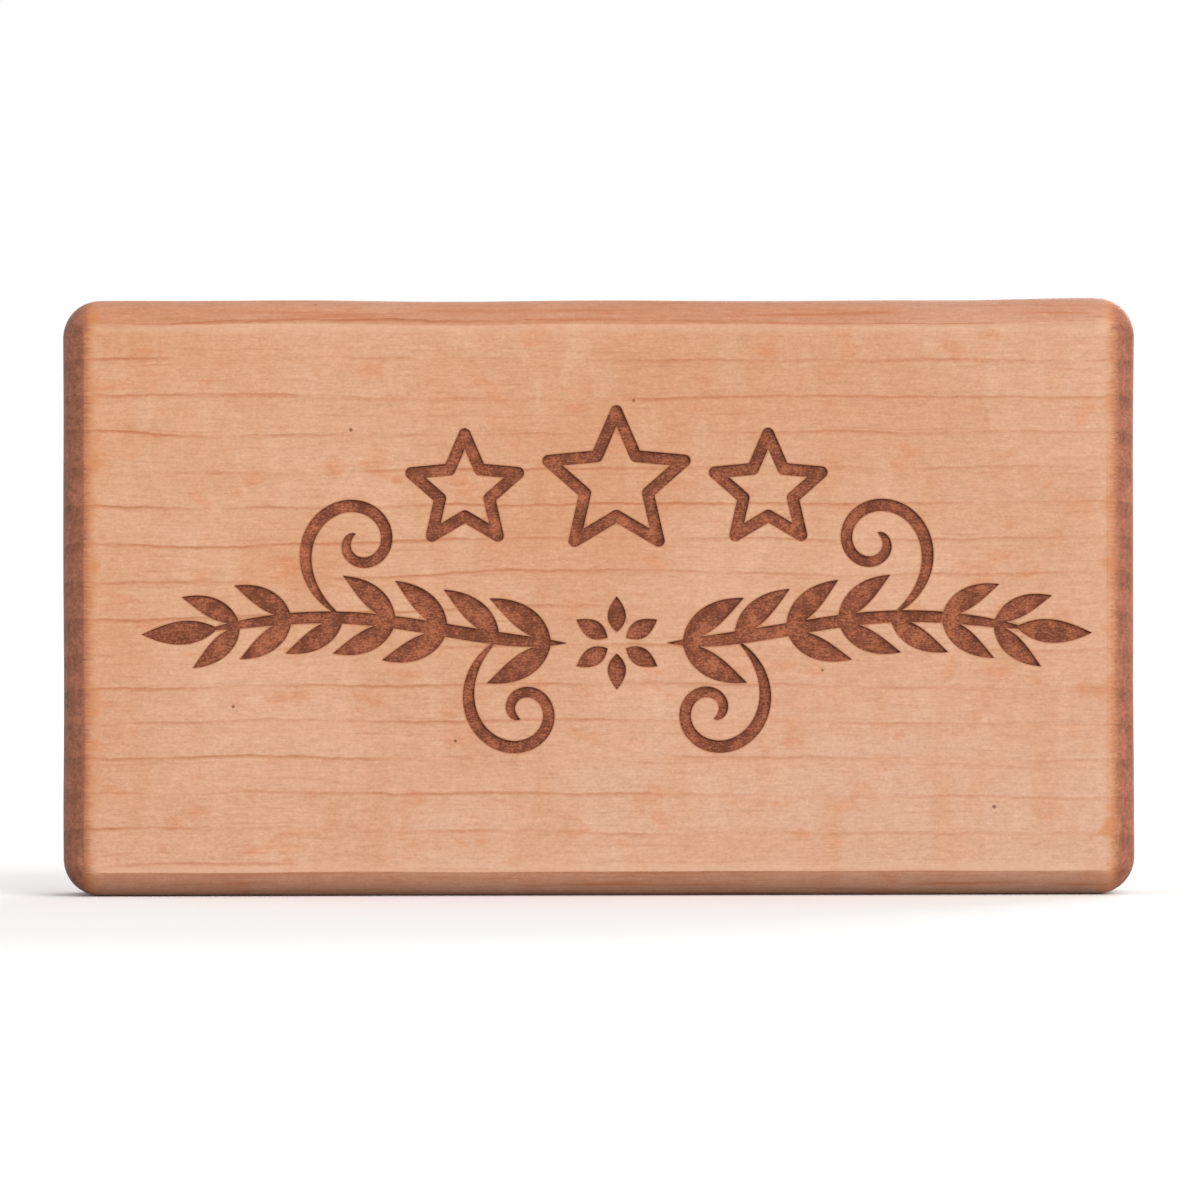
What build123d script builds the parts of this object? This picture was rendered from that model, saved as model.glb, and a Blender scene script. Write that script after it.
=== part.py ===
"""Small engraved hardwood award plaque with a flush keyhole hanger on its back.

Millimetres, +Z up, +X to the reader's right, the engraved face towards -Y.  The plaque stands on its
bottom edge, and the origin is on the ground under the middle of its overall footprint.
"""
from build123d import *
from math import atan2, cos, degrees, hypot, pi, radians, sin
import os

# ---- driving dimensions -------------------------------------------------------------------------

BLOCK_WIDTH = 90.0
BLOCK_HEIGHT = 50.0
BLOCK_THICKNESS = 15.0
EDGE_RADIUS = 3.2        # one 1/8 inch round-over bit runs round every edge
FACE_SANDING = 0.2       # sanded off front and back after routing, which leaves a crisp crease

ENGRAVING_DEPTH = 0.25
ENGRAVING_SHIFT_X = 1.5  # the ornament sits a little right of the block's middle

PLATE_WIDTH = 38.0
PLATE_HEIGHT = 19.0
PLATE_THICKNESS = 1.5
PLATE_CORNER = 3.0
PLATE_CENTRE_Z = 33.0
PLATE_GAP = 0.15         # between the plate's rim and its recess

KEYHOLE_ENTRY_RADIUS = 4.25
KEYHOLE_SLOT_RADIUS = 2.25
KEYHOLE_RISE = 6.0       # from the entry's centre up to the slot's end centre

POCKET_WIDTH = 11.0      # room behind the plate for the wall screw's head
POCKET_HEIGHT = 17.0
POCKET_DEPTH = 5.0
POCKET_CORNER = 3.0

SCREW_SPACING = 28.0
SCREW_LENGTH = 10.0
SCREW_HEAD_RADIUS = 2.75
SCREW_HEAD_DEPTH = 1.25
SCREW_SHANK_RADIUS = 1.5
SCREW_POINT_LENGTH = 2.0
SCREW_POINT_RADIUS = 0.2
SCREW_CROSS_LENGTH = 3.0
SCREW_CROSS_WIDTH = 0.7
SCREW_CROSS_DEPTH = 1.0
SCREW_GAP = 0.05         # clearance round each screw

BUMPER_RADIUS = 4.0
BUMPER_HEIGHT = 2.0
BUMPER_RIM = 0.6         # straight side below the dome
BUMPER_INSET = 8.0       # from the block's outer edges to a bumper's centre

# ---- where the main surfaces lie ----------------------------------------------------------------

FRONT_Y = -(BLOCK_THICKNESS + BUMPER_HEIGHT) / 2
BACK_Y = FRONT_Y + BLOCK_THICKNESS
RECESS_FLOOR_Y = BACK_Y - PLATE_THICKNESS
POCKET_FLOOR_Y = RECESS_FLOOR_Y - POCKET_DEPTH
ENTRY_Z = PLATE_CENTRE_Z - (KEYHOLE_RISE + KEYHOLE_SLOT_RADIUS - KEYHOLE_ENTRY_RADIUS) / 2


def forwards(sketch, y, depth):
    """The solid under a sketch of (x, z) shapes, from the plane at y, depth towards the front."""
    plane = Plane(origin=(0, y, 0), x_dir=(1, 0, 0), z_dir=(0, -1, 0))
    return extrude(plane * sketch, depth)


def turned(profile, x, z):
    """The solid that a profile of (radius, y) shapes makes about the line through (x, z) along Y."""
    return Pos(x, 0, z) * revolve(profile, Axis.Y)


# ---- engraved ornament: three stars over a garland ----------------------------------------------

STAR_STROKE = 1.0
STAR_ROW_Z = 34.6
STAR_STEP_X = 12.7
MIDDLE_STAR_RADIUS = 6.0
SIDE_STAR_RADIUS = 4.7
SIDE_STAR_DROP = 0.6
STAR_WAIST = 0.46        # inner corners, as a share of the tip radius

STEM_START_X = 4.2
STEM_LENGTH = 30.4
STEM_Z = 22.3
STEM_WAVE = 1.1
STEM_HALF_WAVES = 1.5
STEM_WIDTH = 1.05
STEM_TAPER = 0.15        # wider by this share at its start, and narrower by it at its end
LEAF_PAIRS = 7
LEAF_PAIR_START = 0.3    # where in its own stretch of stem a pair of leaves grows
END_LEAF_AT = 0.96       # how far along the stem the last leaf grows
LEAF_LENGTH = 6.4
LEAF_WIDTH = 1.95
LEAF_ANGLE = 47.0
LEAF_BEND = 26.0         # how far a leaf turns back towards the stem
LEAF_TAPER = 0.18        # how much smaller the leaves get towards the garland's end
END_LEAF_BEND = 10.0
TENDRIL_WIDTH = 1.15
TENDRIL_TAPER = 0.35     # how much narrower it ends than it starts
TENDRIL_TURNS = 1.4
# (pair, side) of each leaf that a tendril replaces: (back, reach, inner radius)
TENDRIL_AT = {(4, 1): (1.4, 6.2, 0.9), (1, -1): (2.0, 6.0, 0.8)}
ROSETTE_PETALS = 6
PETAL_LENGTH = 3.0
PETAL_WIDTH = 1.5
ROSETTE_EYE = 0.9
BRUSH_SAMPLES = 16


def brush(centre, width):
    """A filled stroke along centre(t), 0 <= t <= 1, as wide as width(t), which is 0 at both ends."""
    step = 1e-4
    left, right = [], []
    for i in range(BRUSH_SAMPLES + 1):
        t = (1 - cos(pi * i / BRUSH_SAMPLES)) / 2
        x, z = centre(t)
        ahead, behind = centre(min(t + step, 1)), centre(max(t - step, 0))
        run, rise = ahead[0] - behind[0], ahead[1] - behind[1]
        half = width(t) / 2 / hypot(run, rise)
        left.append((x - rise * half, z + run * half))
        right.append((x + rise * half, z - run * half))
    return make_face([Spline(*left), Spline(*right)])


def leaf(x, z, angle, length, width, bend):
    """A leaf that starts at (x, z), heads off at angle degrees and bends as it goes.

    It is pointed at both ends and a little fuller towards its foot.
    """
    def centre(t):
        heading = radians(angle + bend * t / 2)
        return x + length * t * cos(heading), z + length * t * sin(heading)

    return brush(centre, lambda t: width * 4 * t * (1 - t) * (1.2 - 0.4 * t))


def stem_point(s):
    """The garland's stem from the middle outwards, for 0 <= s <= 1."""
    return STEM_START_X + STEM_LENGTH * s, STEM_Z - STEM_WAVE * cos(STEM_HALF_WAVES * pi * s)


def stem_heading(s):
    """The stem's direction at s, in degrees above level."""
    turn = STEM_HALF_WAVES * pi
    return degrees(atan2(STEM_WAVE * turn * sin(turn * s), STEM_LENGTH))


def stem_width(t):
    """Even along most of the stem, tapering gently, and blunt at both ends."""
    return STEM_WIDTH * (1 - (2 * t - 1) ** 6) * (1 + STEM_TAPER * (1 - 2 * t))


def tendril(s, side, back, reach, inner_radius):
    """A spiral of even width that leaves the stem at s and coils up (side 1) or down (side -1)."""
    x, z = stem_point(s)
    first_radius, first_angle = hypot(back, reach), atan2(-side * reach, back)

    def centre(t):
        radius = first_radius * (inner_radius / first_radius) ** (t ** 0.9)
        angle = first_angle + side * TENDRIL_TURNS * 2 * pi * t
        return x - back + radius * cos(angle), z + side * reach + radius * sin(angle)

    return brush(centre, lambda t: TENDRIL_WIDTH * (1 - (2 * t - 1) ** 8) * (1 - TENDRIL_TAPER * t))


def garland_half():
    """The strokes of the garland right of its middle."""
    strokes = [brush(stem_point, stem_width)]
    for pair in range(LEAF_PAIRS):
        for side in (1, -1):
            s = (pair + LEAF_PAIR_START) / LEAF_PAIRS
            if (pair, side) in TENDRIL_AT:
                strokes.append(tendril(s, side, *TENDRIL_AT[pair, side]))
                continue
            size = 1 - LEAF_TAPER * s
            strokes.append(leaf(*stem_point(s), stem_heading(s) + side * LEAF_ANGLE,
                                LEAF_LENGTH * size, LEAF_WIDTH * size, -side * LEAF_BEND))
    strokes.append(leaf(*stem_point(END_LEAF_AT), stem_heading(1), LEAF_LENGTH, LEAF_WIDTH, END_LEAF_BEND))
    return strokes


def rosette():
    """Six petals round the garland's middle."""
    middle_z = stem_point(0)[1]
    petals = []
    for k in range(ROSETTE_PETALS):
        angle = 90 + 360 * k / ROSETTE_PETALS
        x, z = ROSETTE_EYE * cos(radians(angle)), middle_z + ROSETTE_EYE * sin(radians(angle))
        petals.append(leaf(x, z, angle, PETAL_LENGTH, PETAL_WIDTH, 0))
    return petals


def star_corners(radius):
    """The ten corners of a five-pointed star, tip upwards."""
    corners = []
    for k in range(10):
        reach, angle = radius * (STAR_WAIST if k % 2 else 1), radians(90 + 36 * k)
        corners.append((reach * cos(angle), reach * sin(angle)))
    return corners


def star_outline(radius):
    """A star drawn with one line of even width and round corners."""
    line = Polyline(*star_corners(radius), close=True)
    outer = offset(make_face(line), STAR_STROKE / 2, kind=Kind.ARC)
    inner = offset(make_face(line), -STAR_STROKE / 2, kind=Kind.INTERSECTION)
    return outer - inner


def stars():
    """A row of three stars, the middle one larger."""
    row = [Pos(0, STAR_ROW_Z) * star_outline(MIDDLE_STAR_RADIUS)]
    for side in (-1, 1):
        place = Pos(side * STAR_STEP_X, STAR_ROW_Z - SIDE_STAR_DROP)
        row.append(place * star_outline(SIDE_STAR_RADIUS))
    return row


def engraving():
    """The grooves to cut, as one solid for each connected figure."""
    half = garland_half()
    sprig = Sketch() + half[0]
    for stroke in half[1:]:
        sprig = sprig + stroke
    figures = [sprig, mirror(sprig, Plane.YZ)] + rosette() + stars()
    depth = ENGRAVING_DEPTH + FACE_SANDING
    return [Pos(ENGRAVING_SHIFT_X, 0, 0) * forwards(f, FRONT_Y + ENGRAVING_DEPTH, depth) for f in figures]


# ---- wooden block -------------------------------------------------------------------------------

def keyhole():
    """The keyhole's outline: a round entry with a narrower slot rising from it."""
    slot = Pos(0, ENTRY_Z + KEYHOLE_RISE / 2) * Rectangle(2 * KEYHOLE_SLOT_RADIUS, KEYHOLE_RISE)
    slot_end = Pos(0, ENTRY_Z + KEYHOLE_RISE) * Circle(KEYHOLE_SLOT_RADIUS)
    return Pos(0, ENTRY_Z) * Circle(KEYHOLE_ENTRY_RADIUS) + slot + slot_end


def plate_outline(gap):
    """The hanger plate's outline, made larger by gap all round."""
    outline = RectangleRounded(PLATE_WIDTH + 2 * gap, PLATE_HEIGHT + 2 * gap, PLATE_CORNER + gap)
    return Pos(0, PLATE_CENTRE_Z) * outline


def screw_places():
    """(x, z) of the two hanger screws, left then right as seen from the front."""
    return [(side * SCREW_SPACING / 2, PLATE_CENTRE_Z) for side in (-1, 1)]


def screw_profile(gap):
    """Half of a countersunk screw's outline in (radius, y), made fatter and longer by gap."""
    shoulder_y = BACK_Y - SCREW_HEAD_DEPTH - gap
    point_y = BACK_Y - SCREW_LENGTH - gap
    return make_face(Polyline(
        (0, BACK_Y), (SCREW_HEAD_RADIUS + gap, BACK_Y), (SCREW_SHANK_RADIUS + gap, shoulder_y),
        (SCREW_SHANK_RADIUS + gap, point_y + SCREW_POINT_LENGTH),
        (SCREW_POINT_RADIUS, point_y), (0, point_y), close=True))


def raw_block():
    """The block after routing and face sanding, with no cuts in it."""
    rough_thickness = BLOCK_THICKNESS + 2 * FACE_SANDING
    rough = Pos(0, (FRONT_Y + BACK_Y) / 2, BLOCK_HEIGHT / 2) * Box(BLOCK_WIDTH, rough_thickness, BLOCK_HEIGHT)
    rough = fillet(rough.edges(), EDGE_RADIUS)
    kept = Pos(0, (FRONT_Y + BACK_Y) / 2, BLOCK_HEIGHT / 2) * Box(BLOCK_WIDTH, BLOCK_THICKNESS, BLOCK_HEIGHT)
    return rough & kept


def wood_block():
    """The plaque's body: engraved in front, recessed and drilled behind."""
    block = raw_block() - forwards(plate_outline(PLATE_GAP), BACK_Y, PLATE_THICKNESS)
    pocket = Pos(0, PLATE_CENTRE_Z) * RectangleRounded(POCKET_WIDTH, POCKET_HEIGHT, POCKET_CORNER)
    block = block - forwards(pocket, RECESS_FLOOR_Y, POCKET_DEPTH)
    for x, z in screw_places():
        block = block - turned(screw_profile(SCREW_GAP), x, z)
    for groove in engraving():
        block = block - groove
    return block


# ---- hanger and its screws ----------------------------------------------------------------------

def keyhole_hanger():
    """Steel plate, flush with the back, with the keyhole and two countersunk holes."""
    plate = forwards(plate_outline(0) - keyhole(), BACK_Y, PLATE_THICKNESS)
    for x, z in screw_places():
        plate = plate - turned(screw_profile(SCREW_GAP), x, z)
    return plate


def hanger_screw(x, z):
    """Countersunk wood screw with a cross recess."""
    screw = turned(screw_profile(0), x, z)
    bar = Rectangle(SCREW_CROSS_LENGTH, SCREW_CROSS_WIDTH)
    return screw - forwards(Pos(x, z) * (bar + Rot(0, 0, 90) * bar), BACK_Y, SCREW_CROSS_DEPTH)


# ---- rubber bumpers -----------------------------------------------------------------------------

def bumper(x, z):
    """Domed self-adhesive pad that keeps the plaque off the wall."""
    rim_y, top_y = BACK_Y + BUMPER_RIM, BACK_Y + BUMPER_HEIGHT
    dome = TangentArc((0, top_y), (BUMPER_RADIUS, rim_y), tangent=(1, 0))
    sides = Polyline((0, top_y), (0, BACK_Y), (BUMPER_RADIUS, BACK_Y), (BUMPER_RADIUS, rim_y))
    return turned(make_face([dome, sides]), x, z)


# ---- assembly -----------------------------------------------------------------------------------

def plaque():
    """Every separate piece by its node name."""
    pieces = {"wood_block": wood_block(), "keyhole_hanger": keyhole_hanger()}
    for side, (x, z) in zip(("left", "right"), screw_places()):
        pieces[f"hanger_screw_{side}"] = hanger_screw(x, z)
    bumper_x = BLOCK_WIDTH / 2 - BUMPER_INSET
    for side, x in (("left", -bumper_x), ("right", bumper_x)):
        pieces[f"bumper_top_{side}"] = bumper(x, BLOCK_HEIGHT - BUMPER_INSET)
        pieces[f"bumper_bottom_{side}"] = bumper(x, BUMPER_INSET)
    return pieces


os.makedirs("parts", exist_ok=True)
for name, piece in plaque().items():
    export_step(piece, f"parts/{name}.step")
    box = piece.bounding_box()
    print(f"{name}: {len(piece.solids())} solid, {piece.volume:.1f} mm3, "
          f"{box.size.X:.2f} x {box.size.Y:.2f} x {box.size.Z:.2f} mm, valid {piece.is_valid}")
print(f"keyhole entry at z {ENTRY_Z:.2f}, plate from y {RECESS_FLOOR_Y:.2f} to {BACK_Y:.2f}, "
      f"pocket floor at y {POCKET_FLOOR_Y:.2f}")
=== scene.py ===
# %% [markdown]
# # An engraved hardwood plaque
# The plaque is a palm-sized block of pale, fine-grained hardwood with a burnt ornament on its front
# and a keyhole hanger, two screws and four rubber bumpers on its back.  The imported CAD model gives
# every size and place.  Blender remakes each piece with finer shapes and gives it its finish.

# %% Load the frame
from math import atan2, cos, degrees, hypot, pi, radians, sin

import bmesh
import bpy
import numpy as np
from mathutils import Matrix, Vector, noise


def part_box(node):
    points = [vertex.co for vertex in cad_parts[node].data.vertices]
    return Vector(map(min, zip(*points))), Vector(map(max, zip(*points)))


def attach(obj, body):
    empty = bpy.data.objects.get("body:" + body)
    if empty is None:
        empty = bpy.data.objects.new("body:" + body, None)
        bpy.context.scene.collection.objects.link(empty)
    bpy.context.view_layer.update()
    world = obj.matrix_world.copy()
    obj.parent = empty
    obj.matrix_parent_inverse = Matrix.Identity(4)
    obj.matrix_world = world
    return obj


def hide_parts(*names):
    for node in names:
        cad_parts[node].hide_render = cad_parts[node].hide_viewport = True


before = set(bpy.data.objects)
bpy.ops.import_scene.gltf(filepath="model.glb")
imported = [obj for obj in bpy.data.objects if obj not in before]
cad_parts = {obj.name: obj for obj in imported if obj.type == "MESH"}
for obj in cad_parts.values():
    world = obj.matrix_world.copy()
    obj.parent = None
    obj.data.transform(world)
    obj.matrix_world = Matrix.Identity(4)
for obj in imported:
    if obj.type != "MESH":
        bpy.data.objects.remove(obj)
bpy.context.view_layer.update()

# %% [markdown]
# ## Sizes that every piece shares
# A CAD node's box says where each piece lies, so the block's front and back planes, the hanger and
# the screws are all read from the frame.  Only what a box can't tell, such as a corner's radius or
# a groove's depth, is written here.  Everything is in metres, so MM turns millimetres into them.

# %% Shared sizes
MM = 0.001
block_low, block_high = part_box("wood_block")
plate_low, plate_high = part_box("keyhole_hanger")
BLOCK_MIDDLE = (block_low + block_high) / 2
BLOCK_SIZE = block_high - block_low
FRONT_Y, BACK_Y = block_low.y, block_high.y
EDGE_RADIUS = 3.2 * MM
FACE_SANDING = 0.2 * MM
FLAT_MARGIN = 2.5 * MM      # the ornament stays this far inside the block's outline
ENGRAVING_DEPTH = 0.25 * MM
print("block size in mm:", [round(v / MM, 2) for v in BLOCK_SIZE])

# %% [markdown]
# ## Camera, floor and light
# The plaque is seen square on, so the camera stands straight in front of it with a long lens, which
# keeps the sides out of sight.  It leans a tenth of a degree, as a hand-held camera does.

# %% Camera
LENS = 250.0
SENSOR = 36.0
VIEW_WIDTH = 100.9 * MM    # what the camera takes in at the block's widest outline
VIEW_MIDDLE_X, VIEW_MIDDLE_Z = 0.1 * MM, 24.8 * MM
CAMERA_ROLL = radians(0.12)
outline_y = FRONT_Y + EDGE_RADIUS
distance = VIEW_WIDTH * LENS / SENSOR
bpy.ops.object.camera_add(location=(VIEW_MIDDLE_X, outline_y - distance, VIEW_MIDDLE_Z),
                          rotation=(radians(90), CAMERA_ROLL, 0))
camera = bpy.context.object
camera.data.lens = LENS
camera.data.sensor_width = SENSOR
camera.data.clip_start = 0.01
bpy.context.scene.camera = camera
print("camera stands", round(distance, 3), "m in front of the block")

# %% [markdown]
# The floor and the air round the plaque look nearly white, yet a white room would light the plaque
# from below and from the left as strongly as from anywhere else and flatten it.  A studio solves
# that with dark cards out of view.  Here the floor and the world are pale to look at and
# darker to the light that bounces off them.

# %% Floor and world
FLOOR_LOOKS, FLOOR_BOUNCES = 0.97, 0.48
WORLD_LOOKS, WORLD_LIGHTS = 1.0, 0.71


def seen_or_felt(node_tree, felt, seen, socket):
    """Gives a socket one value where it is looked at and another where it only sends light."""
    rays = node_tree.nodes.new("ShaderNodeLightPath")
    choice = node_tree.nodes.new("ShaderNodeMapRange")
    choice.inputs["To Min"].default_value = felt
    choice.inputs["To Max"].default_value = seen
    node_tree.links.new(rays.outputs["Is Camera Ray"], choice.inputs["Value"])
    node_tree.links.new(choice.outputs["Result"], socket)


bpy.ops.mesh.primitive_circle_add(vertices=96, radius=3.0, fill_type="NGON", location=(0, 0, 0))
floor = bpy.context.object
floor.name = "floor"

floor_paint = bpy.data.materials.new("pale_floor")
floor_paint.use_nodes = True
floor_shader = floor_paint.node_tree.nodes["Principled BSDF"]
floor_shader.inputs["Roughness"].default_value = 0.9
floor_shader.inputs["Specular IOR Level"].default_value = 0.1
seen_or_felt(floor_paint.node_tree, FLOOR_BOUNCES, FLOOR_LOOKS, floor_shader.inputs["Base Color"])
floor.data.materials.append(floor_paint)

world = bpy.data.worlds.new("studio")
bpy.context.scene.world = world
world.use_nodes = True
background = world.node_tree.nodes["Background"]
background.inputs["Color"].default_value = (1.0, 1.0, 1.0, 1)
seen_or_felt(world.node_tree, WORLD_LIGHTS, WORLD_LOOKS, background.inputs["Strength"])
print("floor and world are ready")

# %% [markdown]
# One broad soft light falls from in front, from the right and a little above, so the face and the
# right end are evenly lit, the top is a shade darker and the left end and the bottom fall away.  A
# weaker one behind lights the hanger and draws a thin bright line along the top and the right end.

# %% Lights
def sun(name, towards, strength, softness):
    """Soft light that falls from one direction with the same strength everywhere."""
    bpy.ops.object.light_add(type="SUN", location=towards)
    light = bpy.context.object
    light.name = name
    light.data.energy = strength
    light.data.angle = softness
    light.rotation_euler = Vector(towards).to_track_quat("Z", "Y").to_euler()
    print(name, "shines at", strength)


sun("key_light", (0.50, -0.75, 0.38), 2.16, radians(50))
sun("back_light", (0.30, 0.85, 0.30), 1.5, radians(30))
bpy.context.scene.view_settings.view_transform = "Standard"

# %% [markdown]
# ## Tools for modelling
# Each piece starts as a primitive.  Modelling operators act on everything that is selected, so the
# helpers below first clear the selection, then pick faces or edges by where they lie.

# %% Selecting and placing
def only(piece):
    """Selects one object and makes it active."""
    bpy.ops.object.select_all(action="DESELECT")
    piece.select_set(True)
    bpy.context.view_layer.objects.active = piece


def settle(piece):
    """Puts the piece's place, turn and size into its mesh."""
    only(piece)
    bpy.ops.object.transform_apply(location=True, rotation=True, scale=True)


def box_piece(name, low, high):
    """A block between two corners, ready to be shaped."""
    low, high = Vector(low), Vector(high)
    bpy.ops.object.select_all(action="DESELECT")
    bpy.ops.mesh.primitive_cube_add(size=1, location=(low + high) / 2, scale=high - low)
    piece = bpy.context.object
    piece.name = name
    settle(piece)
    return piece


def pick(piece, kind, wanted):
    """In edit mode, selects the faces, edges or vertices for which wanted(element) is true."""
    mesh = bmesh.from_edit_mesh(piece.data)
    for element in list(mesh.faces) + list(mesh.edges) + list(mesh.verts):
        element.select = False
    bpy.context.tool_settings.mesh_select_mode = (kind == "VERT", kind == "EDGE", kind == "FACE")
    elements = {"VERT": mesh.verts, "EDGE": mesh.edges, "FACE": mesh.faces}[kind]
    count = 0
    for element in elements:
        if wanted(element):
            element.select_set(True)
            count += 1
    mesh.select_flush_mode()
    bmesh.update_edit_mesh(piece.data)
    return count


def runs_along(axis):
    """A test for edges that run along one axis (0, 1 or 2)."""
    def test(edge):
        run = edge.verts[1].co - edge.verts[0].co
        return abs(run[axis]) > 0.99 * run.length
    return test

# %% Cutting and cleaning
def combine(piece, other, operation):
    """Adds or cuts away another mesh with the exact solver, then deletes the other."""
    modifier = piece.modifiers.new(operation.lower(), "BOOLEAN")
    modifier.operation = operation
    modifier.object = other
    modifier.solver = "EXACT"
    only(piece)
    bpy.ops.object.modifier_apply(modifier=modifier.name)
    bpy.data.objects.remove(other)


def drop_slivers(piece, smallest=0.002 * MM):
    """Merges corners that coincide, drops the slivers that cuts and bevels leave, and closes up."""
    only(piece)
    bpy.ops.object.mode_set(mode="EDIT")
    bpy.ops.mesh.select_all(action="SELECT")
    bpy.ops.mesh.remove_doubles(threshold=smallest)
    bpy.ops.mesh.dissolve_degenerate(threshold=smallest)
    # A tiny edge with more than two faces holds a folded sliver, so its two ends become one corner.
    bpy.context.tool_settings.mesh_select_mode = (True, False, False)
    bpy.ops.mesh.select_all(action="DESELECT")
    bpy.ops.mesh.select_non_manifold(extend=False, use_wire=False, use_boundary=False,
                                     use_non_contiguous=False, use_verts=False)
    bpy.ops.mesh.merge(type="COLLAPSE")
    bpy.ops.mesh.select_all(action="SELECT")
    bpy.ops.mesh.delete_loose(use_faces=True)
    bpy.ops.mesh.select_all(action="SELECT")
    bpy.ops.mesh.fill_holes(sides=0)
    bpy.ops.object.mode_set(mode="OBJECT")


def triangle_count(piece):
    return sum(len(p.vertices) - 2 for p in piece.data.polygons)

# %% [markdown]
# ## The wooden block
# The real block is sawn, rounded on a router table with an eighth-inch round-over bit, then sanded
# flat on its two big faces.  The same order works here.  A bevelled cube would do for the shape, but
# its big faces would be single polygons.  A cube cut into an even grid can also carry a scorch map
# round the engraving and the small dips that hand sanding leaves, so that is used.

# %% Saw and divide the block
GRID = 0.5 * MM
rough_low = block_low - Vector((0, FACE_SANDING, 0))
rough_high = block_high + Vector((0, FACE_SANDING, 0))
block = box_piece("plaque_block", rough_low, rough_high)
bpy.ops.object.mode_set(mode="EDIT")
for axis in range(3):
    cuts = round((rough_high - rough_low)[axis] / GRID) - 1
    pick(block, "EDGE", runs_along(axis))
    bpy.ops.mesh.subdivide(number_cuts=cuts)
bpy.ops.object.mode_set(mode="OBJECT")
print("block grid:", len(block.data.polygons), "faces")

# %% Round the edges
def vertex_places(mesh):
    places = np.zeros(len(mesh.vertices) * 3)
    mesh.vertices.foreach_get("co", places)
    return places.reshape(-1, 3)


def set_vertex_places(mesh, places):
    mesh.vertices.foreach_set("co", places.reshape(-1))
    mesh.update()


core_low = np.array(rough_low) + EDGE_RADIUS
core_high = np.array(rough_high) - EDGE_RADIUS
places = vertex_places(block.data)
core = np.clip(places, core_low, core_high)
outwards = places - core
outwards /= np.linalg.norm(outwards, axis=1)[:, None]
set_vertex_places(block.data, core + outwards * EDGE_RADIUS)
print("edges rounded to", EDGE_RADIUS / MM, "mm")

# %% [markdown]
# Sanding takes a fifth of a millimetre off the front and back, so the flat face meets the
# round-over in a crisp crease and not in a tangent.  Bisecting at the sanded plane puts a row of
# edges on that crease before the vertices in front of it are pressed flat.

# %% Sand the faces
only(block)
bpy.ops.object.mode_set(mode="EDIT")
for plane_y in (FRONT_Y, BACK_Y):
    bpy.ops.mesh.select_all(action="SELECT")
    bpy.ops.mesh.bisect(plane_co=(0, plane_y, 0), plane_no=(0, 1, 0))
bpy.ops.mesh.select_all(action="SELECT")
bpy.ops.mesh.remove_doubles(threshold=0.004 * MM)
bpy.ops.object.mode_set(mode="OBJECT")
places = vertex_places(block.data)
places[:, 1] = np.clip(places[:, 1], FRONT_Y, BACK_Y)
set_vertex_places(block.data, places)
print("block after sanding:", len(block.data.polygons), "faces")

# %% [markdown]
# Few hands sand an edge dead straight.  Slow noise moves the rounded edges, and the crease beside
# them, by up to a tenth of a millimetre.  It fades out towards the flat middle of each big face, so
# the outline looks worked and not machined, and the faces stay flat.

# %% Sand the edges by hand
HAND_WAVER = 0.16 * MM
WAVER_LENGTH = 13 * MM
WAVER_SEED = 4
noise.seed_set(WAVER_SEED)    # without a seed the noise follows the clock and differs from run to run
CREASE_INSET = EDGE_RADIUS - (EDGE_RADIUS ** 2 - (EDGE_RADIUS - FACE_SANDING) ** 2) ** 0.5
places = vertex_places(block.data)
for place in places:
    spot = Vector(place)
    beyond_core = [max(abs(spot[axis] - BLOCK_MIDDLE[axis]) - BLOCK_SIZE[axis] / 2 + EDGE_RADIUS, 0)
                   for axis in (0, 2)]
    waver_share = min(hypot(*beyond_core) / (EDGE_RADIUS - CREASE_INSET), 1)
    waver = noise.noise_vector(spot / WAVER_LENGTH) * HAND_WAVER * waver_share
    place[0] += waver.x
    place[2] += waver.z * min(spot.z / EDGE_RADIUS, 1)    # the edge it stands on stays straight
set_vertex_places(block.data, places)
print("the crease lies", round(CREASE_INSET / MM, 2), "mm inside the outline")

# %% [markdown]
# ## Recess, pocket and screw holes
# Behind, a router leaves a shallow recess for the hanger plate and a deeper pocket for the wall
# screw's head.  Each cutter is a cube whose upright corners are bevelled round, as the router bit
# leaves them, and the exact boolean solver takes it out of the block.

# %% Cut the back
PLATE_GAP = 0.15 * MM
PLATE_CORNER = 3.0 * MM
POCKET_SIZE = Vector((11.0, 5.0, 17.0)) * MM
POCKET_CORNER = 3.0 * MM
PILOT_RADIUS = 1.55 * MM
CORNER_STEPS = 8
PAST = 1.0 * MM           # how far a cutter sticks out of the surface that it cuts


def round_upright_corners(piece, radius, axis=1, steps=CORNER_STEPS):
    """Rounds the four edges that run along one axis."""
    only(piece)
    bpy.ops.object.mode_set(mode="EDIT")
    pick(piece, "EDGE", runs_along(axis))
    bpy.ops.mesh.bevel(offset=radius, segments=steps, affect="EDGES")
    bpy.ops.object.mode_set(mode="OBJECT")


plate_middle = (plate_low + plate_high) / 2
grown = Vector((PLATE_GAP, 0, PLATE_GAP))
recess = box_piece("recess_cutter", plate_low - grown, plate_high + grown + Vector((0, PAST, 0)))
round_upright_corners(recess, PLATE_CORNER + PLATE_GAP)
combine(block, recess, "DIFFERENCE")

pocket_middle = Vector((0, plate_low.y - POCKET_SIZE.y / 2, plate_middle.z))
pocket = box_piece("pocket_cutter", pocket_middle - POCKET_SIZE / 2,
                   pocket_middle + POCKET_SIZE / 2 + Vector((0, PAST, 0)))
round_upright_corners(pocket, POCKET_CORNER)
combine(block, pocket, "DIFFERENCE")

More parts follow.
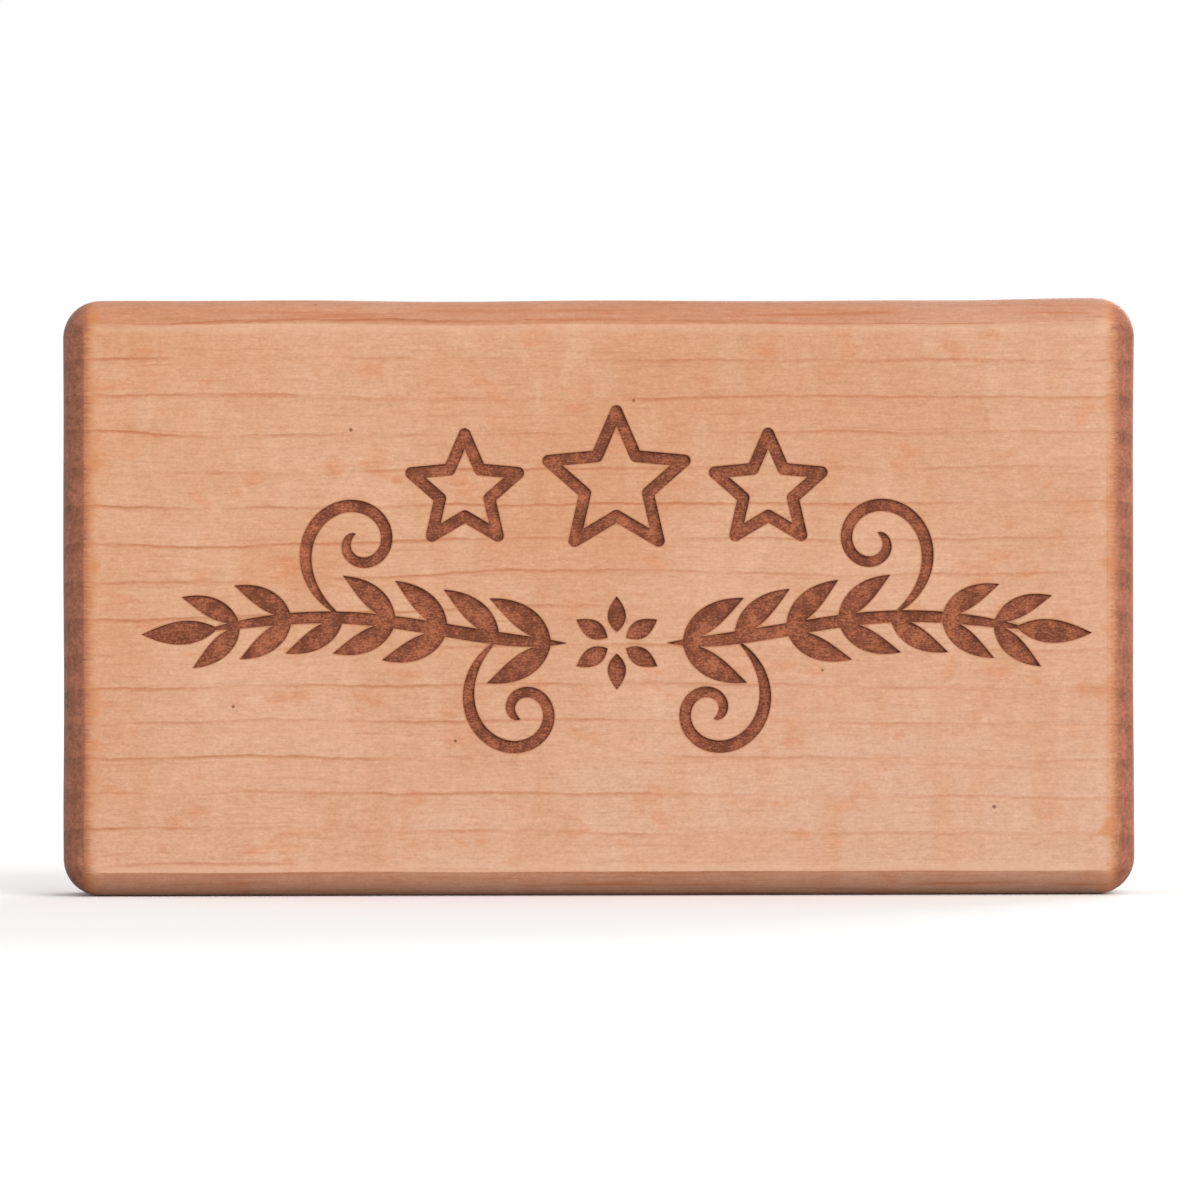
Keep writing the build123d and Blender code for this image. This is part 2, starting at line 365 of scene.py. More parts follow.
for name in ("hanger_screw_left", "hanger_screw_right"):
    screw_low, screw_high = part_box(name)
    middle = (screw_low + screw_high) / 2
    length = plate_low.y - screw_low.y
    bpy.ops.mesh.primitive_cylinder_add(
        vertices=32, radius=PILOT_RADIUS, depth=length + PAST,
        location=(middle.x, screw_low.y + (length + PAST) / 2, middle.z), rotation=(radians(90), 0, 0))
    drill = bpy.context.object
    settle(drill)
    combine(block, drill, "DIFFERENCE")
print("block with its back cut:", triangle_count(block), "triangles")

# %% [markdown]
# ## The ornament
# The engraving is three outlined stars over a leafy garland.  It is drawn with one tool, a brush
# stroke: a middle line given by a formula, and a width that grows and fades along it.  A leaf is a
# short bent stroke, the stem a long wavy one and a tendril a spiral one.  The formulas are those of
# the CAD model, so the grooves land where the CAD grooves are.

# %% Brush strokes
BRUSH_SAMPLES = 30
SPIRAL_SAMPLES = 84
ENGRAVING_SHIFT_X = 1.5
STEM_START_X, STEM_LENGTH, STEM_Z, STEM_WAVE, STEM_WIDTH = 4.2, 30.4, 22.3, 1.1, 1.05
STEM_HALF_WAVES, STEM_TAPER = 1.5, 0.15
LEAF_PAIRS, LEAF_PAIR_START, LEAF_LENGTH, LEAF_WIDTH, END_LEAF_AT = 7, 0.3, 6.4, 1.95, 0.96
LEAF_ANGLE, LEAF_BEND, LEAF_TAPER, END_LEAF_BEND = 47.0, 26.0, 0.18, 10.0
TENDRIL_WIDTH, TENDRIL_TURNS, TENDRIL_TAPER = 1.15, 1.4, 0.35
# (pair, side) of each leaf that a tendril replaces: (back, reach, inner radius)
TENDRIL_AT = {(4, 1): (1.4, 6.2, 0.9), (1, -1): (2.0, 6.0, 0.8)}


def brush(centre, width, samples=BRUSH_SAMPLES):
    """The outline of a stroke along centre(t), 0 <= t <= 1, in millimetres across the face."""
    step = 1e-4
    left, right = [], []
    for i in range(samples + 1):
        t = (1 - cos(pi * i / samples)) / 2
        x, z = centre(t)
        ahead, behind = centre(min(t + step, 1)), centre(max(t - step, 0))
        run, rise = ahead[0] - behind[0], ahead[1] - behind[1]
        half = width(t) / 2 / hypot(run, rise)
        left.append((x - rise * half, z + run * half))
        right.append((x + rise * half, z - run * half))
    return left + right[-2:0:-1]


def leaf(x, z, angle, length, width, bend):
    """A leaf that starts at (x, z), heads off at angle degrees and bends as it goes."""
    def centre(t):
        heading = radians(angle + bend * t / 2)
        return x + length * t * cos(heading), z + length * t * sin(heading)

    return brush(centre, lambda t: width * 4 * t * (1 - t) * (1.2 - 0.4 * t))


def stem_point(s):
    """The garland's stem from the middle outwards, for 0 <= s <= 1."""
    return STEM_START_X + STEM_LENGTH * s, STEM_Z - STEM_WAVE * cos(STEM_HALF_WAVES * pi * s)


def stem_heading(s):
    rise = STEM_WAVE * STEM_HALF_WAVES * pi * sin(STEM_HALF_WAVES * pi * s)
    return degrees(atan2(rise, STEM_LENGTH))


def stem_width(t):
    return STEM_WIDTH * (1 - (2 * t - 1) ** 6) * (1 + STEM_TAPER * (1 - 2 * t))


def tendril(s, side, back, reach, inner_radius):
    """A spiral that leaves the stem at s and coils up (side 1) or down (side -1)."""
    x, z = stem_point(s)
    first_radius, first_angle = hypot(back, reach), atan2(-side * reach, back)

    def centre(t):
        radius = first_radius * (inner_radius / first_radius) ** (t ** 0.9)
        angle = first_angle + side * TENDRIL_TURNS * 2 * pi * t
        return x - back + radius * cos(angle), z + side * reach + radius * sin(angle)

    def width(t):
        return TENDRIL_WIDTH * (1 - (2 * t - 1) ** 8) * (1 - TENDRIL_TAPER * t)

    return brush(centre, width, SPIRAL_SAMPLES)


def garland_half():
    """The strokes of the garland right of its middle."""
    strokes = [brush(stem_point, stem_width)]
    for pair in range(LEAF_PAIRS):
        for side in (1, -1):
            s = (pair + LEAF_PAIR_START) / LEAF_PAIRS
            if (pair, side) in TENDRIL_AT:
                strokes.append(tendril(s, side, *TENDRIL_AT[pair, side]))
                continue
            size = 1 - LEAF_TAPER * s
            strokes.append(leaf(*stem_point(s), stem_heading(s) + side * LEAF_ANGLE,
                                LEAF_LENGTH * size, LEAF_WIDTH * size, -side * LEAF_BEND))
    end = stem_point(END_LEAF_AT)
    strokes.append(leaf(*end, stem_heading(1), LEAF_LENGTH, LEAF_WIDTH, END_LEAF_BEND))
    return strokes


print("strokes in half a garland:", len(garland_half()))

# %% Rosette and stars
ROSETTE_PETALS, PETAL_LENGTH, PETAL_WIDTH, ROSETTE_EYE = 6, 3.0, 1.5, 0.9
STAR_STROKE, STAR_ROW_Z, STAR_STEP_X, STAR_WAIST = 1.0, 34.6, 12.7, 0.46
MIDDLE_STAR_RADIUS, SIDE_STAR_RADIUS, SIDE_STAR_DROP = 6.0, 4.7, 0.6
STARS = [(MIDDLE_STAR_RADIUS, 0, STAR_ROW_Z)]
STARS += [(SIDE_STAR_RADIUS, side * STAR_STEP_X, STAR_ROW_Z - SIDE_STAR_DROP) for side in (-1, 1)]


def rosette():
    """Six petals round the garland's middle."""
    middle_z = stem_point(0)[1]
    petals = []
    for k in range(ROSETTE_PETALS):
        angle = 90 + 360 * k / ROSETTE_PETALS
        x, z = ROSETTE_EYE * cos(radians(angle)), middle_z + ROSETTE_EYE * sin(radians(angle))
        petals.append(leaf(x, z, angle, PETAL_LENGTH, PETAL_WIDTH, 0))
    return petals


def star_corners(radius, x, z):
    """The ten corners of a five-pointed star, tip upwards."""
    corners = []
    for k in range(10):
        reach, angle = radius * (STAR_WAIST if k % 2 else 1), radians(90 + 36 * k)
        corners.append((x + reach * cos(angle), z + reach * sin(angle)))
    return corners


print("stars:", len(STARS), "and petals:", ROSETTE_PETALS)

# %% [markdown]
# ## Cutting the grooves
# Every stroke becomes a thin prism: a circle primitive with as many corners as the outline is moved
# onto it and extruded.  Overlapping strokes are united first, while their meshes are small, and only
# then taken out of the block in one cut.  A star's line is a cylinder for each round corner and a
# bar for each side, united the same way.

# %% Groove cutters
GROOVE_FLOOR_Y = FRONT_Y + ENGRAVING_DEPTH
DOT_CORNERS = 20
DOT_TURN = 0.37    # in steps from corner to corner, so that no corner of a dot lies on a bar's side


def prism(outline):
    """A cutter with this outline, from in front of the face to the groove's floor."""
    bpy.ops.object.select_all(action="DESELECT")
    bpy.ops.mesh.primitive_circle_add(vertices=len(outline), radius=MM, fill_type="NGON")
    piece = bpy.context.object
    flat = [((x + ENGRAVING_SHIFT_X) * MM, GROOVE_FLOOR_Y, z * MM) for x, z in outline]
    set_vertex_places(piece.data, np.array(flat))
    piece.location = (0, 0, 0)
    bpy.ops.object.mode_set(mode="EDIT")
    bpy.ops.mesh.select_all(action="SELECT")
    bpy.ops.mesh.extrude_region_move(
        TRANSFORM_OT_translate={"value": (0, -ENGRAVING_DEPTH - PAST, 0)})
    bpy.ops.mesh.select_all(action="SELECT")
    bpy.ops.mesh.normals_make_consistent(inside=False)
    bpy.ops.object.mode_set(mode="OBJECT")
    return piece


def united(outlines):
    """One cutter out of overlapping outlines."""
    whole = prism(outlines[0])
    for outline in outlines[1:]:
        combine(whole, prism(outline), "UNION")
    return whole


def star_line(radius, x, z):
    """The outlines that together draw a star's line: a round dot at each corner, a bar between."""
    corners = star_corners(radius, x, z)
    outlines = []
    for start, end in zip(corners, corners[1:] + corners[:1]):
        along = Vector(end) - Vector(start)
        side = Vector((-along.y, along.x)).normalized() * STAR_STROKE / 2
        bar = [Vector(start) + side, Vector(start) - side, Vector(end) - side, Vector(end) + side]
        outlines.append([tuple(p) for p in bar])
        turns = [2 * pi * (i + DOT_TURN) / DOT_CORNERS for i in range(DOT_CORNERS)]
        outlines.append([(start[0] + STAR_STROKE / 2 * cos(turn), start[1] + STAR_STROKE / 2 * sin(turn))
                         for turn in turns])
    return outlines


def mirrored(outlines):
    """The same outlines left of the middle, still drawn the same way round."""
    return [[(-x, z) for x, z in outline[::-1]] for outline in outlines]


sprig = garland_half()
cutters = [united(sprig), united(mirrored(sprig))]
cutters += [prism(petal) for petal in rosette()]
cutters += [united(star_line(*star)) for star in STARS]
print("cutters:", len(cutters), "with", sum(len(c.data.vertices) for c in cutters), "corners")

# %% Cut the ornament
def on_ornament(place):
    """Whether a point lies over the flat part of the face, clear of the round-overs."""
    gap = Vector(place) - BLOCK_MIDDLE
    return abs(gap.x) < BLOCK_SIZE.x / 2 - FLAT_MARGIN and abs(gap.z) < BLOCK_SIZE.z / 2 - FLAT_MARGIN


# A finer grid in front lets the scorch map of the next step follow narrow gaps between strokes.
corner_places = np.concatenate([vertex_places(cutter.data) for cutter in cutters])
ornament_low = corner_places.min(axis=0) - GRID
ornament_high = corner_places.max(axis=0) + GRID
only(block)
bpy.ops.object.mode_set(mode="EDIT")
pick(block, "FACE", lambda face: face.normal.y < -0.99
     and ornament_low[0] < face.calc_center_median().x < ornament_high[0]
     and ornament_low[2] < face.calc_center_median().z < ornament_high[2])
bpy.ops.mesh.subdivide(number_cuts=1)
bpy.ops.object.mode_set(mode="OBJECT")

bpy.ops.object.select_all(action="DESELECT")
for cutter in cutters:
    cutter.select_set(True)
bpy.context.view_layer.objects.active = cutters[0]
bpy.ops.object.join()
combine(block, bpy.context.object, "DIFFERENCE")
print("engraved block:", triangle_count(block), "triangles")

# %% Find the rims and divide the floors
def at_floor(vertex):
    """Whether a vertex lies on a groove's floor."""
    return abs(vertex.co.y - GROOVE_FLOOR_Y) < 0.01 * MM and on_ornament(vertex.co)


carved = bmesh.new()
carved.from_mesh(block.data)
rims = [edge for edge in carved.edges
        if at_floor(edge.verts[0]) and at_floor(edge.verts[1])
        and any(abs(face.normal.y) < 0.5 for face in edge.link_faces)]
RIM_LINES = np.array([[(v.co.x, v.co.z) for v in edge.verts] for edge in rims])
carved.free()

# A groove's floor is one big polygon with corners only at its rim.  Slicing it into a grid gives it
# corners of its own.  Everything else is hidden meanwhile, so only the floors are sliced.
FLOOR_GRID = 0.35 * MM
only(block)
bpy.ops.object.mode_set(mode="EDIT")
floors = pick(block, "FACE", lambda face: all(at_floor(v) for v in face.verts))
bpy.ops.mesh.hide(unselected=True)
for axis in (0, 2):
    slice_normal = [0, 0, 0]
    slice_normal[axis] = 1
    for cut in np.arange(corner_places[:, axis].min(), corner_places[:, axis].max(), FLOOR_GRID)[1:]:
        slice_place = [0, 0, 0]
        slice_place[axis] = cut
        bpy.ops.mesh.select_all(action="SELECT")
        bpy.ops.mesh.bisect(plane_co=slice_place, plane_no=slice_normal)
bpy.ops.mesh.reveal(select=False)
bpy.ops.object.mode_set(mode="OBJECT")
drop_slivers(block)
print("floors:", floors, "faces, rims:", len(RIM_LINES), "edges, block:", triangle_count(block), "triangles")

# %% [markdown]
# ## A map of the scorching
# A laser browns the wood for a few tenths of a millimetre beyond each groove.  The material needs to
# know how far every point of the face is from the nearest groove, and no pattern can tell it that,
# so the distance is measured here, vertex by vertex, and stored on the mesh as an attribute.

# %% Measure the distance to the grooves
def distance_to_lines(points, lines):
    """The distance from each (x, z) point to the nearest of the line pieces."""
    start, run = lines[:, 0], lines[:, 1] - lines[:, 0]
    length_squared = np.maximum((run ** 2).sum(axis=1), 1e-18)
    nearest = np.empty(len(points))
    for first in range(0, len(points), 2000):
        part = points[first:first + 2000, None] - start
        share = np.clip((part * run).sum(axis=2) / length_squared, 0, 1)
        gap = part - share[:, :, None] * run
        nearest[first:first + 2000] = np.sqrt((gap ** 2).sum(axis=2).min(axis=1))
    return nearest


def store(piece, name, values):
    """Keeps one number for each vertex, which a material can read by this name."""
    attribute = piece.data.attributes.new(name, "FLOAT", "POINT")
    attribute.data.foreach_set("value", values.astype(np.float32))


FAR_FROM_GROOVES = 5.0
places = vertex_places(block.data)
in_front = places[:, 1] < FRONT_Y + ENGRAVING_DEPTH + 0.01 * MM
groove_distance = np.full(len(places), FAR_FROM_GROOVES)
groove_distance[in_front] = distance_to_lines(places[in_front][:, [0, 2]], RIM_LINES) / MM
store(block, "groove_distance_mm", np.minimum(groove_distance, FAR_FROM_GROOVES))
print("measured", in_front.sum(), "vertices")

# %% [markdown]
# ## Tools for materials
# A material is a small diagram: patterns feed numbers into ramps, and ramps feed the shader.  These
# helpers add one node each and return its output, so that a finish reads like a sum.

# %% Material helpers
class Finish:
    """A new material and short ways to add nodes to it."""

    def __init__(self, name):
        self.material = bpy.data.materials.new(name)
        self.material.use_nodes = True
        self.nodes = self.material.node_tree.nodes
        self.links = self.material.node_tree.links
        self.shader = self.nodes["Principled BSDF"]
        self.here = self.nodes.new("ShaderNodeTexCoord").outputs["Object"]

    def feed(self, socket, value):
        """Links a node's output to a socket, or sets the socket to a plain value."""
        if isinstance(value, bpy.types.NodeSocket):
            self.links.new(value, socket)
        elif hasattr(socket.default_value, "__len__") and not isinstance(value, (int, float)):
            size = len(socket.default_value)
            socket.default_value = (tuple(value) + (1,))[:size] if size == 4 else tuple(value)
        else:
            socket.default_value = value

    def math(self, operation, a, b=0.0):
        node = self.nodes.new("ShaderNodeMath")
        node.operation = operation
        self.feed(node.inputs[0], a)
        self.feed(node.inputs[1], b)
        return node.outputs[0]

    def times(self, a, b):
        return self.math("MULTIPLY", a, b)

    def total(self, *patterns):
        """Adds patterns up.  A pair is a pattern and its weight."""
        result = None
        for pattern in patterns:
            part = self.times(*pattern) if isinstance(pattern, tuple) else pattern
            result = part if result is None else self.math("ADD", result, part)
        return result

    def stretched(self, lump, shift=0.0):
        """The place in units of so many millimetres along x, y and z."""
        node = self.nodes.new("ShaderNodeMapping")
        self.feed(node.inputs["Vector"], self.here)
        node.inputs["Scale"].default_value = [1 / (MM * size) for size in lump]
        node.inputs["Location"].default_value = (shift, shift, shift)
        return node.outputs[0]

    def grain(self, lump, detail=2.0, roughness=0.5, shift=0.0):
        """Noise whose lumps are so many millimetres long along x, y and z."""
        node = self.nodes.new("ShaderNodeTexNoise")
        self.feed(node.inputs["Vector"], self.stretched(lump, shift))
        node.inputs["Scale"].default_value = 1.0
        node.inputs["Detail"].default_value = detail
        node.inputs["Roughness"].default_value = roughness
        return node.outputs["Fac"]

    def span(self, value, low, high, to_low=0.0, to_high=1.0, smooth=True):
        """Takes value from low..high to to_low..to_high, and holds it there outside."""
        node = self.nodes.new("ShaderNodeMapRange")
        node.interpolation_type = "SMOOTHSTEP" if smooth else "LINEAR"
        self.feed(node.inputs["Value"], value)
        node.inputs["From Min"].default_value = low
        node.inputs["From Max"].default_value = high
        node.inputs["To Min"].default_value = to_low
        node.inputs["To Max"].default_value = to_high
        return node.outputs["Result"]

    def swing(self, pattern, reach, around=0.0):
        """Takes a noise, which seldom leaves 0.3 to 0.7, evenly to reach on each side of around."""
        return self.span(pattern, 0.3, 0.7, around - reach, around + reach, smooth=False)

    def tint(self, share, first, second, blend="MIX"):
        """The first colour, with a share of the second laid over it."""
        node = self.nodes.new("ShaderNodeMix")
        node.data_type = "RGBA"
        node.blend_type = blend
        self.feed(node.inputs["Factor"], share)
        self.feed(node.inputs[6], first)
        self.feed(node.inputs[7], second)
        return node.outputs[2]

    def axes(self, place=None):
        """The place's x, y and z, each on its own."""
        node = self.nodes.new("ShaderNodeSeparateXYZ")
        self.feed(node.inputs[0], place or self.here)
        return node.outputs

    def vector(self, x, y, z):
        node = self.nodes.new("ShaderNodeCombineXYZ")
        for socket, value in zip(node.inputs, (x, y, z)):
            self.feed(socket, value)
        return node.outputs[0]

    def bump(self, height, depth):
        """Lets a pattern of 0 to 1 raise the surface by depth metres."""
        node = self.nodes.new("ShaderNodeBump")
        node.inputs["Strength"].default_value = 1.0
        node.inputs["Distance"].default_value = depth
        self.feed(node.inputs["Height"], height)
        if self.shader.inputs["Normal"].is_linked:
            self.feed(node.inputs["Normal"], self.shader.inputs["Normal"].links[0].from_socket)
        self.feed(self.shader.inputs["Normal"], node.outputs[0])


def screen_colour(red, green, blue):
    """A colour picked on screen (0 to 255) as the linear light that a shader works in."""
    return tuple((v / 255 / 12.92) if v < 11 else ((v / 255 + 0.055) / 1.055) ** 2.4
                 for v in (red, green, blue))


print("mid grey on screen is", round(screen_colour(128, 128, 128)[0], 3), "in light")

# %% [markdown]
# ## The wood
# The face is cut so that growth rings cross it as thin level lines about three millimetres apart,
# and the rays, which run up and down in it, show as soft upright flecks.  A printed pattern would
# not turn the corner onto the end grain.  This wood is a solid pattern in the block's own millimetres,
# so every side, and the pocket behind, shows the cut that it really makes.

# %% Growth rings
wood = Finish("oiled_hardwood")
x, y, z = wood.axes()
RING_STEP = 3.05
RING_DIP = 0.15     # how far a ring falls for each millimetre of depth


def growth_line(season, start, peak, after=0.0):
    """A line that darkens from start to peak and fades to after as the season ends at 1."""
    return wood.times(wood.span(season, start, peak), wood.span(season, peak, 1.0, 1.0, after))


# Growth rings lie nearly level.  They wander slowly along the board and dip a little with depth.
wander = wood.grain((45, 30, 18), detail=2)
ripple = wood.grain((6.5, 6, 5), detail=3, roughness=0.6, shift=7)
shiver = wood.grain((1.3, 3, 1.6), detail=2, shift=29)
ring_height = wood.total((z, 1 / MM), (y, RING_DIP / MM), (wander, 2.8), (ripple, 0.6), (shiver, 0.22))
year = wood.math("DIVIDE", ring_height, RING_STEP)
season = wood.math("FRACT", year)

# Late wood is a thin dark line at the end of each year, with a soft shade below it.  The line comes
# and goes along the board, and is stronger towards the top left.
late_soft = growth_line(season, 0.35, 0.95, after=0.3)
line_strength = wood.span(wood.grain((15, 5, 2.6), detail=4, roughness=0.6, shift=3), 0.36, 0.62)
top_left = wood.span(wood.math("SUBTRACT", z, x), -50 * MM, 60 * MM, 0.40, 1.15)
late_wood = wood.times(growth_line(season, 0.85, 0.96), wood.times(line_strength, top_left))

# Thinner false rings lie between the years.
half_season = wood.math("FRACT", wood.times(year, 2.37))
false_strength = wood.span(wood.grain((7, 5, 1.6), shift=11), 0.45, 0.7)
false_ring = wood.times(growth_line(half_season, 0.8, 0.96), false_strength)
print("growth rings every", RING_STEP, "mm")

# %% Fibres, rays and figure
# Fibres and pores run along the board, and rays run up it.  Sanding leaves a fine fuzz over both.
fibres = wood.grain((1.9, 0.3, 0.15), detail=4, roughness=0.65)
fuzz = wood.grain((0.22, 0.2, 0.16), detail=2, roughness=0.7, shift=5)
flecks = wood.grain((0.75, 0.4, 0.42), detail=3, roughness=0.6, shift=23)
rays = wood.grain((2.1, 0.4, 7.0), detail=3, roughness=0.55, shift=9)
figure = wood.grain((4.2, 6, 15), detail=3, roughness=0.55, shift=13)
clouds = wood.grain((21, 30, 13), detail=2, shift=17)
flames = wood.grain((3.4, 5, 2.0), detail=3, roughness=0.6, shift=27)
print("the wood has", len(wood.nodes), "nodes so far")

# %% Wood colours
PALE_WOOD = screen_colour(212, 161, 128)
WARM_WOOD = screen_colour(203, 144, 104)
PINK_WOOD = screen_colour(213, 168, 142)
LATE_WOOD = screen_colour(176, 100, 56)
RAY_WOOD = screen_colour(222, 180, 150)
FLAME_WOOD = screen_colour(205, 128, 82)
PIT_WOOD = screen_colour(96, 52, 36)
# The last colour is a painted highlight, laid just inside the top and bottom creases.
CREASE_HIGHLIGHT_WOOD = screen_colour(226, 184, 154)

half_width, half_height = BLOCK_SIZE.x / 2, BLOCK_SIZE.z / 2
paler_right = wood.span(x, -half_width, half_width, 0.0, 0.40, smooth=False)
paler_below = wood.span(z, 8 * MM, 30 * MM, 0.40, 0.0)
colour = wood.tint(wood.span(clouds, 0.35, 0.68), PALE_WOOD, WARM_WOOD)
for share, tone in (
        (wood.total(paler_right, paler_below), PINK_WOOD),
        (wood.span(figure, 0.50, 0.72, to_high=0.35), WARM_WOOD),
        (wood.span(rays, 0.50, 0.78, to_high=0.34), RAY_WOOD),
        (wood.span(flames, 0.54, 0.74, to_high=0.44), FLAME_WOOD),
        (wood.times(late_soft, 0.15), WARM_WOOD),
        (wood.times(late_wood, 0.54), LATE_WOOD),
        (wood.times(false_ring, 0.22), LATE_WOOD)):
    colour = wood.tint(share, colour, tone)

# A darker fibre is also a redder one, so green and blue swing further than red.
RED_SWING, GREEN_SWING, BLUE_SWING = 0.18, 0.25, 0.32
texture = wood.total((fibres, 0.38), (fuzz, 0.40), (flecks, 0.22))
swings = [wood.swing(texture, reach, around=1) for reach in (RED_SWING, GREEN_SWING, BLUE_SWING)]
colour = wood.tint(1.0, colour, wood.vector(*swings), blend="MULTIPLY")
print("pale wood as light:", [round(v, 3) for v in PALE_WOOD])

# %% [markdown]
# The router bit rubs the round-overs browner than the sanded faces, and its streaks follow the
# fibres.  End grain drinks more oil than the long sides, so both ends are darker still, and the oil
# creeps a little way into the face beside them, where it glows.

# %% Round-overs and end grain
BURNISH = (0.83, 0.74, 0.73)
END_WOOD = screen_colour(160, 100, 76)
END_RING = screen_colour(122, 71, 52)
GLOW_WOOD = screen_colour(202, 130, 78)

facing = wood.nodes.new("ShaderNodeTexCoord")
turn_x, _, turn_z = wood.axes(facing.outputs["Normal"])
burnished = wood.span(wood.math("ABSOLUTE", turn_z), 0.22, 0.50)
edge_streaks = wood.span(wood.grain((17, 1.4, 0.5), detail=3, roughness=0.6, shift=19), 0.52, 0.70)
colour = wood.tint(burnished, colour, BURNISH, blend="MULTIPLY")
colour = wood.tint(wood.times(wood.times(edge_streaks, burnished), 0.55), colour, LATE_WOOD)

# A painted highlight: a pale line just inside the top and bottom creases, where the crease catches the
# light.
CREASE_AT = half_height - CREASE_INSET
from_centre = wood.math("ABSOLUTE", wood.math("SUBTRACT", z, BLOCK_MIDDLE.z))
painted_highlight = wood.span(from_centre, CREASE_AT - 1.2 * MM, CREASE_AT - 0.1 * MM)
painted_highlight = wood.times(painted_highlight, wood.span(burnished, 0.0, 0.5, 0.32, 0.0))
colour = wood.tint(painted_highlight, colour, CREASE_HIGHLIGHT_WOOD)
print("fresh wood beside the crease, at", round(CREASE_AT / MM, 2), "mm from the middle")

# %% Oil at the ends
# The oil crept a little further at the left end than at the right.
CREEP_SHIFT = 0.16 * MM
from_middle = wood.math("ABSOLUTE", wood.math("SUBTRACT", x, CREEP_SHIFT))
glow_edge = wood.total(from_middle, wood.swing(flames, 0.45 * MM), wood.swing(fibres, 0.35 * MM))
glow = wood.span(glow_edge, half_width - 3.1 * MM, half_width - 1.9 * MM, to_high=0.70)
colour = wood.tint(glow, colour, GLOW_WOOD)

creep = wood.total(from_middle, wood.swing(flecks, 0.24 * MM), wood.swing(fibres, 0.28 * MM))
end_grain = wood.math("MAXIMUM", wood.span(creep, half_width - 2.55 * MM, half_width - 1.4 * MM),
                      wood.span(wood.math("ABSOLUTE", turn_x), 0.6, 0.9))
end_rays = wood.grain((9, 0.3, 4.0), detail=3, roughness=0.6, shift=21)
end_stains = wood.grain((2.6, 2.6, 1.7), detail=3, roughness=0.6, shift=43)
end_tone = wood.tint(wood.times(late_soft, 0.42), END_WOOD, END_RING)
end_tone = wood.tint(wood.span(end_rays, 0.52, 0.75, to_high=0.25), end_tone, WARM_WOOD)
end_pores = wood.total(wood.swing(fuzz, 0.20, around=1), wood.swing(flecks, 0.26),
                       wood.swing(end_stains, 0.16))
end_tone = wood.tint(1.0, end_tone, wood.vector(end_pores, end_pores, end_pores), blend="MULTIPLY")
colour = wood.tint(end_grain, colour, end_tone)
print("the oil crept in from both ends, by", round(2 * CREEP_SHIFT / MM, 2), "mm more at the left")

# %% [markdown]
# A few pin knots and open pores are no bigger than a pencil point.  A cell pattern spreads them, one
# to a cell, with most cells cut too deep or too shallow to show theirs.

# %% Pits
PIT_CELL = 5.0
pits = wood.nodes.new("ShaderNodeTexVoronoi")
wood.feed(pits.inputs["Vector"], wood.stretched([PIT_CELL] * 3))
pits.inputs["Scale"].default_value = 1.0
pit = wood.span(pits.outputs["Distance"], 0.02, 0.04, 0.75, 0.0)
colour = wood.tint(pit, colour, PIT_WOOD)
print("pits lie in cells of", PIT_CELL, "mm")

# %% [markdown]
# ## The burn
# Inside a groove the laser's passes leave level lines, darker and lighter by turns, and a darker
# outline where it slows to turn.  Just outside, the wood is only singed.

# %% Burn colours
CHAR_DARK = screen_colour(112, 60, 41)
CHAR_LIGHT = screen_colour(184, 111, 78)
SINGED = screen_colour(176, 110, 72)


def inside(distance, edge):
    """1 inside an edge and 0 past it, with a change over the last tenth of a millimetre."""
    return wood.span(distance, edge - 0.1 * MM, edge, 1.0, 0.0)


rim = wood.nodes.new("ShaderNodeAttribute")
rim.attribute_name = "groove_distance_mm"
rim_distance = rim.outputs["Fac"]
within_face = wood.times(inside(from_middle, half_width - FLAT_MARGIN),
                         inside(from_centre, half_height - FLAT_MARGIN))
depth_in = wood.math("SUBTRACT", y, FRONT_Y)
in_groove = wood.times(wood.span(depth_in, 0.02 * MM, 0.06 * MM), within_face)
in_groove = wood.times(in_groove, wood.span(depth_in, 0.5 * MM, 0.6 * MM, 1.0, 0.0))

passes = wood.grain((0.8, 9, 0.12), detail=2, roughness=0.6, shift=31)
blotches = wood.grain((1.7, 9, 1.9), detail=4, roughness=0.65, shift=37)
specks = wood.grain((0.24, 9, 0.17), detail=2, roughness=0.7, shift=41)
outline_burn = wood.span(rim_distance, 0.0, 0.2, 0.03, 0.0)
burn = wood.total((passes, 0.45), (blotches, 0.90), (specks, 0.80), outline_burn)
char = wood.tint(wood.span(burn, 0.78, 1.24), CHAR_LIGHT, CHAR_DARK)

singe = wood.times(wood.span(rim_distance, 0.0, 0.16, 0.75, 0.0), within_face)
colour = wood.tint(singe, colour, SINGED)
colour = wood.tint(in_groove, colour, char)
print("the wood has", len(wood.nodes), "nodes")

# %% Wood surface
FIBRE_RELIEF = 0.012 * MM
CHAR_RELIEF = 0.03 * MM
wood.feed(wood.shader.inputs["Base Color"], colour)
roughness = wood.total(wood.swing(fibres, 0.05, around=0.57), (in_groove, 0.3))
wood.feed(wood.shader.inputs["Roughness"], roughness)
wood.shader.inputs["Specular IOR Level"].default_value = 0.22
wood.shader.inputs["Sheen Weight"].default_value = 0.08
wood.shader.inputs["Sheen Roughness"].default_value = 0.45
wood.shader.inputs["Sheen Tint"].default_value = (1.0, 0.90, 0.82, 1)
wood.bump(wood.total((fibres, 0.5), (fuzz, 0.5)), FIBRE_RELIEF)
wood.bump(wood.times(in_groove, wood.total(passes, specks)), CHAR_RELIEF)

only(block)
bpy.ops.object.shade_smooth_by_angle(angle=radians(18))
block.data.materials.clear()
block.data.materials.append(wood.material)
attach(block, "root")
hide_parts("wood_block")
print("the block stands for wood_block with", triangle_count(block), "triangles")

# %% [markdown]
# ## The keyhole hanger
# A keyhole hanger is punched out of zinc-plated steel strip.  The punch draws the metal in as it
# enters, so every edge on the side that shows is softly rounded.  The outline could be drawn as a
# curve and extruded, but cutting a cube follows the punch, and keeps each size in plain sight.

